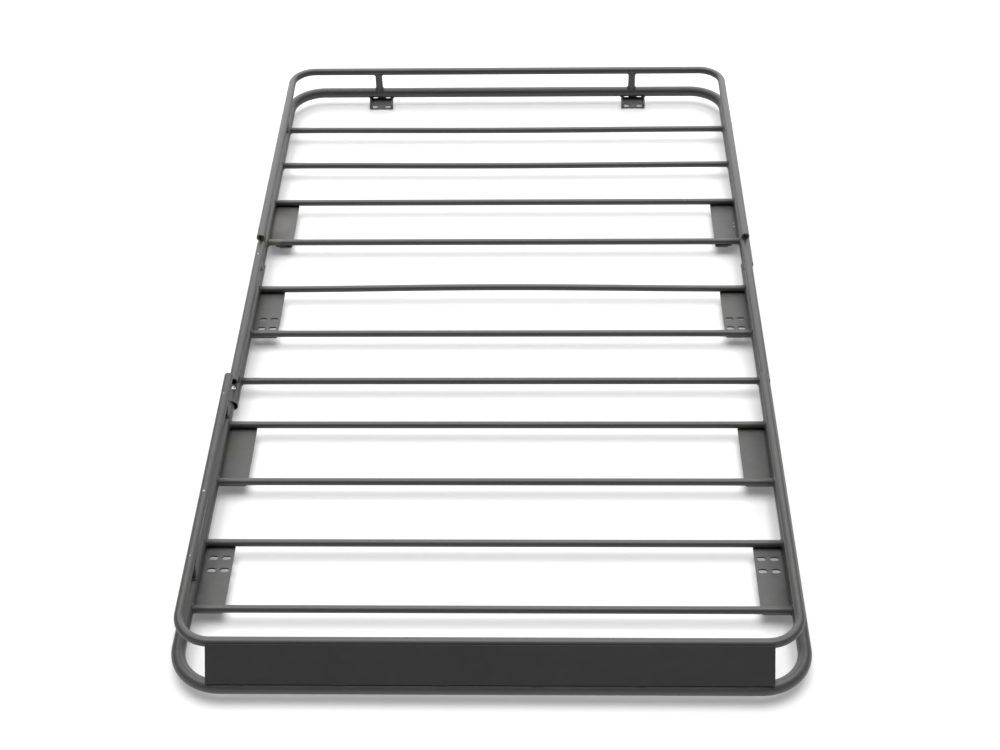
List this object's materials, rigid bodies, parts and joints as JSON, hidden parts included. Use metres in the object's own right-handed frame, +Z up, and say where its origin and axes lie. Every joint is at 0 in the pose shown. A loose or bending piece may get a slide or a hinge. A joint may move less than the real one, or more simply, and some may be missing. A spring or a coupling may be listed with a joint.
{
  "type": "roof cargo basket",
  "caption": "Flat roof cargo basket of welded steel tube in bolted sections, with a raised side rail, round crossbars, slotted mounting plates and a slanted front wind deflector.",
  "frame": {"origin": "under the middle of the rack, level with the lowest edge of the rear foot brackets", "axes": "+X to the rack's right seen from the front, +Y towards the rear, +Z up"},
  "size_m": [1.354, 2.3, 0.124],
  "materials": {
    "tube_coat": "satin charcoal powder coat",
    "plate_coat": "satin charcoal powder coat on flat bar",
    "deflector_coat": "matte black powder coat",
    "screw_zinc": "zinc-plated",
    "sleeve_steel": "plain steel",
    "plug_plastic": "black plastic"
  },
  "bodies": {
    "root": {"crossbar_01": "tube_coat", "crossbar_02": "tube_coat", "crossbar_03": "tube_coat", "crossbar_04": "tube_coat", "crossbar_05": "tube_coat", "crossbar_06": "tube_coat", "crossbar_07": "tube_coat", "crossbar_08": "tube_coat", "crossbar_09": "tube_coat", "crossbar_10": "tube_coat", "crossbar_11": "tube_coat", "front_joint_screw_1_left": "screw_zinc", "front_joint_screw_1_right": "screw_zinc", "front_joint_screw_2_left": "screw_zinc", "front_joint_screw_2_right": "screw_zinc", "front_lower_rail": "tube_coat", "front_post_1_left": "tube_coat", "front_post_1_right": "tube_coat", "front_post_2_left": "tube_coat", "front_post_2_right": "tube_coat", "front_sleeve_left": "sleeve_steel", "front_sleeve_right": "sleeve_steel", "front_upper_rail": "tube_coat", "middle_lower_rail_left": "tube_coat", "middle_lower_rail_right": "tube_coat", "middle_post_1_left": "tube_coat", "middle_post_1_right": "tube_coat", "middle_post_2_left": "tube_coat", "middle_post_2_right": "tube_coat", "middle_upper_rail_left": "tube_coat", "middle_upper_rail_right": "tube_coat", "mount_plate_1_left": "plate_coat", "mount_plate_1_right": "plate_coat", "mount_plate_2_left": "plate_coat", "mount_plate_2_right": "plate_coat", "mount_plate_3_left": "plate_coat", "mount_plate_3_right": "plate_coat", "mount_plate_4_left": "plate_coat", "mount_plate_4_right": "plate_coat", "rear_foot_bracket_left": "plate_coat", "rear_foot_bracket_right": "plate_coat", "rear_joint_screw_1_left": "screw_zinc", "rear_joint_screw_1_right": "screw_zinc", "rear_joint_screw_2_left": "screw_zinc", "rear_joint_screw_2_right": "screw_zinc", "rear_lower_rail": "tube_coat", "rear_post_left": "tube_coat", "rear_post_right": "tube_coat", "rear_side_post_1_left": "tube_coat", "rear_side_post_1_right": "tube_coat", "rear_side_post_2_left": "tube_coat", "rear_side_post_2_right": "tube_coat", "rear_sleeve_left": "sleeve_steel", "rear_sleeve_right": "sleeve_steel", "rear_upper_rail": "tube_coat", "upper_rail_plug_left": "plug_plastic", "upper_rail_plug_right": "plug_plastic", "wind_deflector": "deflector_coat"}
  },
  "joints": []
}
